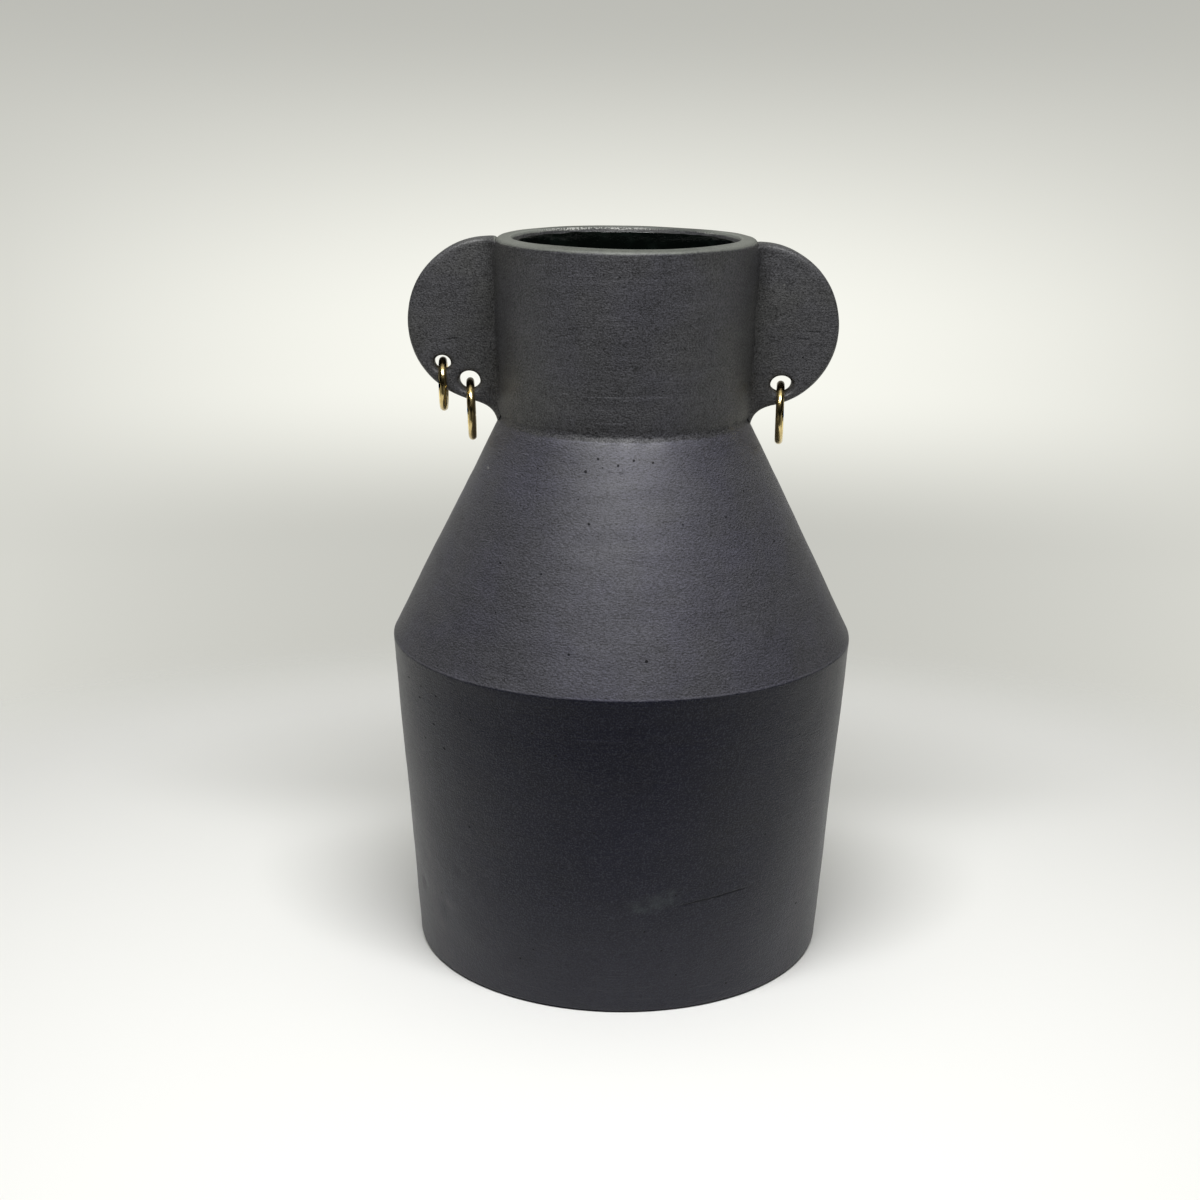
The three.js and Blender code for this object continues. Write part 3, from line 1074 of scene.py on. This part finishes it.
class VASE_OT_glaze(bpy.types.Operator):
    """Make the coat of glaze inside, with a soft bead under the lip"""

    bl_idname = "vase.glaze"
    bl_label = "Glaze Lining"

    def execute(self, context):
        sizes = context.scene.vase_sizes
        gap = 0.05 * MM
        near_wall, near_cone, near_neck = inside_lines(gap)
        far_wall, far_cone, far_neck = inside_lines(gap + sizes.glaze)
        top = sizes.height - 2.4 * MM
        floor = sizes.floor + gap
        water = floor + sizes.glaze
        bm = turned(
            [
                (0, floor, 0),
                (near_wall.at(floor), floor, 2.0 * MM),
                (*near_wall.meets(near_cone), 3.0 * MM),
                (*near_cone.meets(near_neck), 2.5 * MM),
                (near_neck.at(top), top, 0.25 * MM),
                (far_neck.at(top), top, 0.25 * MM),
                (*far_cone.meets(far_neck), 2.5 * MM),
                (*far_wall.meets(far_cone), 3.0 * MM),
                (far_wall.at(water), water, 2.0 * MM),
                (0, water, 0),
            ],
            sizes.turn_steps // 2,
            spacing=4.0 * MM,
        )
        for vert in bm.verts:
            near_top = max(0.0, 1 - (top - vert.co.z) / (5 * MM))
            vert.co.z += near_top * lump(Vector((vert.co.x, vert.co.y, 0)), 6, 0.45)
        finished("glaze_coat", bm, liner_glaze(), VESSEL, ("glaze_lining",))
        return {"FINISHED"}


# How each hoop stands, in degrees: turned about the upright, and leaning in the plane of the ear.
HOOP_STANDS = {
    "outer_left_hoop": (3.1, -1.1),
    "inner_left_hoop": (4.2, -2.3),
    "right_hoop": (-4.6, 0.3),
}

# Where a hoop's seam lies, on its far side below the middle, how wide it is and how it is eased.
SEAM_ANGLE = math.radians(-25)
SEAM_GAP = 0.3 * MM
SEAM_EASING = 0.12 * MM

# Faces round the wire and along it.
WIRE_SIDES = 28
HOOP_STEPS = 120


def hoop_mesh(node, wire):
    """A ring of round wire, open at its butt seam, where its CAD node hangs."""
    low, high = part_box(node)
    mean_radius = (high.z - low.z - wire) / 2
    half_gap = SEAM_GAP / 2 / mean_radius
    start = Matrix.Rotation(SEAM_ANGLE + half_gap, 4, "X") @ Matrix.Translation((0, mean_radius, 0))
    bm = bmesh.new()
    bmesh.ops.create_circle(
        bm, cap_ends=False, segments=WIRE_SIDES, radius=wire / 2, matrix=start
    )
    bmesh.ops.spin(
        bm, geom=bm.verts[:] + bm.edges[:], cent=(0, 0, 0), axis=(1, 0, 0), dvec=(0, 0, 0),
        angle=2 * math.pi - 2 * half_gap, steps=HOOP_STEPS, use_merge=False, use_duplicate=False,
    )
    ends = [edge for edge in bm.edges if edge.is_boundary]
    bmesh.ops.holes_fill(bm, edges=ends, sides=0)
    bmesh.ops.bevel(
        bm, geom=ends, offset=SEAM_EASING, offset_type="OFFSET", affect="EDGES",
        segments=2, profile=0.5, material=-1,
    )
    bmesh.ops.recalc_face_normals(bm, faces=bm.faces)
    turn, lean = (math.radians(angle) for angle in HOOP_STANDS[node])
    stand = Matrix.Rotation(lean, 4, "Y") @ Matrix.Rotation(turn, 4, "Z")
    bm.transform(Matrix.Translation((low + high) / 2) @ stand)
    return bm


class VASE_OT_hoops(bpy.types.Operator):
    """Make the brass hoops where they hang in the ears"""

    bl_idname = "vase.hoops"
    bl_label = "Brass Hoops"

    def execute(self, context):
        material = brass()
        for node, body in HOOP_BODIES.items():
            bm = hoop_mesh(node, context.scene.vase_sizes.wire)
            finished(node + "_wire", bm, material, body, (node,))
        return {"FINISHED"}


class VASE_OT_stage(bpy.types.Operator):
    """Make the pale floor, the soft light and the camera"""

    bl_idname = "vase.stage"
    bl_label = "Stage"

    def execute(self, context):
        make_floor()
        make_backdrop()
        make_overhead_light()
        make_camera()
        context.scene.view_settings.view_transform = "Standard"
        return {"FINISHED"}


def make_floor():
    bm = bmesh.new()
    reach = FLOOR_FADE_END * FLOOR_STRETCH
    bmesh.ops.create_circle(bm, cap_ends=True, segments=96, radius=reach)
    mesh = bpy.data.meshes.new("floor")
    bm.to_mesh(mesh)
    bm.free()
    mesh.materials.append(floor_finish())
    floor = bpy.data.objects.new("floor", mesh)
    bpy.context.scene.collection.objects.link(floor)


def cloth_level(z, aside):
    """How bright the cloth is by height, with a glow behind the vase that fades to the sides."""
    glow = z.rise(0.01, -0.150) * z.rise(-0.25, -0.17) * (1 - aside * 6.6)
    low_sides = z.rise(-0.17, -0.26) * aside
    fold = z.rise(-0.30, -0.42)
    return CLOTH_LEVEL + glow * GLOW_LEVEL + (low_sides * LOW_SIDES_LEVEL + fold * FOLD_LEVEL)


def make_backdrop():
    """Pale cloth behind, above and beside, and a dark opening in front, where the picture is taken.

    The opening only lights and reflects. Seen from anywhere, the cloth goes all the way round.
    """
    backdrop = rgba(bpy.context.scene.vase_stage.backdrop)
    world = bpy.data.worlds.new("backdrop")
    world.use_nodes = True
    bpy.context.scene.world = world
    nodes = Nodes(world.node_tree)
    x, y, z = nodes.axes(nodes.add("ShaderNodeTexCoord", output="Generated"))
    aside = abs(x) ** 2
    cloth = cloth_level(z, aside) * y.rise(0.0, 0.3) * z.rise(0.10, 0.0)
    high_cloth = z.rise(0.0, 0.1) * z.rise(0.9, 0.6) * y.rise(0.1, 0.5)
    top = z.rise(0.75, 0.95)
    side_floor = z.rise(0.05, -0.05) * y.rise(0.35, 0.15) * abs(x).rise(0.4, 0.7)
    front_floor = z.rise(0.0, -0.1) * y.rise(0.3, 0.0) * abs(x).rise(0.7, 0.4)
    level = (
        cloth
        + high_cloth * HIGH_CLOTH_LEVEL
        + top * TOP_LEVEL
        + side_floor * SIDE_FLOOR_LEVEL
        + front_floor * FRONT_FLOOR_LEVEL
    )
    seen = cloth_level(z, aside.held(0.0, 0.09)) * (0.85 + z.rise(0.06, -0.05) * 0.15)
    lights = nodes.add("ShaderNodeBackground", None, {"Color": backdrop, "Strength": level})
    shows = nodes.add("ShaderNodeBackground", None, {"Color": backdrop, "Strength": seen})
    looked_at = nodes.add("ShaderNodeLightPath", output="Is Camera Ray")
    shader = nodes.add("ShaderNodeMixShader", None, {0: looked_at, 1: lights, 2: shows})
    nodes.add("ShaderNodeOutputWorld", None, {"Surface": shader})


def make_overhead_light():
    """A long strip of light above the front."""
    light = bpy.data.lights.new("overhead", "AREA")
    light.shape = "RECTANGLE"
    light.size, light.size_y = STRIP_SIZE
    light.energy = bpy.context.scene.vase_stage.overhead
    lamp = bpy.data.objects.new("overhead", light)
    place = Vector(STRIP_PLACE)
    turn = (Vector(STRIP_AIM) - place).to_track_quat("-Z", "Y")
    lamp.matrix_world = Matrix.Translation(place) @ turn.to_matrix().to_4x4()
    lamp.visible_camera = False
    bpy.context.scene.collection.objects.link(lamp)


def make_camera():
    data = bpy.data.cameras.new("camera")
    data.sensor_width = CAMERA_SENSOR
    data.lens = CAMERA_LENS
    data.clip_start = 0.01
    data.clip_end = 100
    camera = bpy.data.objects.new("camera", data)
    turn = Matrix.Rotation(CAMERA_YAW, 4, "Z")
    lean = Matrix.Rotation(math.pi / 2 + CAMERA_PITCH, 4, "X")
    roll = Matrix.Rotation(CAMERA_ROLL, 4, "Z")
    camera.matrix_world = Matrix.Translation(CAMERA_PLACE) @ turn @ lean @ roll
    bpy.context.scene.collection.objects.link(camera)
    bpy.context.scene.camera = camera


class VASE_PT_panel(bpy.types.Panel):
    """Lists the vase's operators and sizes in the sidebar"""

    bl_idname = "VASE_PT_panel"
    bl_label = "Vase"
    bl_space_type = "VIEW_3D"
    bl_region_type = "UI"
    bl_category = "Vase"

    def draw(self, context):
        layout = self.layout
        scene = context.scene
        for operator in MAKERS:
            layout.operator(operator.bl_idname)
        for group in (scene.vase_sizes, scene.vase_colours, scene.vase_stage):
            box = layout.box()
            for name in group.__annotations__:
                box.prop(group, name)


GROUPS = (VaseSizes, VaseColours, VaseStage)
MAKERS = (VASE_OT_stage, VASE_OT_clay_body, VASE_OT_ears, VASE_OT_glaze, VASE_OT_hoops)


def register():
    for item in (*GROUPS, *MAKERS, VASE_PT_panel):
        bpy.utils.register_class(item)
    bpy.types.Scene.vase_sizes = PointerProperty(type=VaseSizes)
    bpy.types.Scene.vase_colours = PointerProperty(type=VaseColours)
    bpy.types.Scene.vase_stage = PointerProperty(type=VaseStage)


def unregister():
    del bpy.types.Scene.vase_sizes
    del bpy.types.Scene.vase_colours
    del bpy.types.Scene.vase_stage
    for item in (VASE_PT_panel, *reversed(MAKERS), *reversed(GROUPS)):
        bpy.utils.unregister_class(item)


def main():
    register()
    bpy.ops.vase.stage()
    bpy.ops.vase.clay_body()
    bpy.ops.vase.ears()
    bpy.ops.vase.glaze()
    bpy.ops.vase.hoops()


if __name__ == "__main__":
    main()
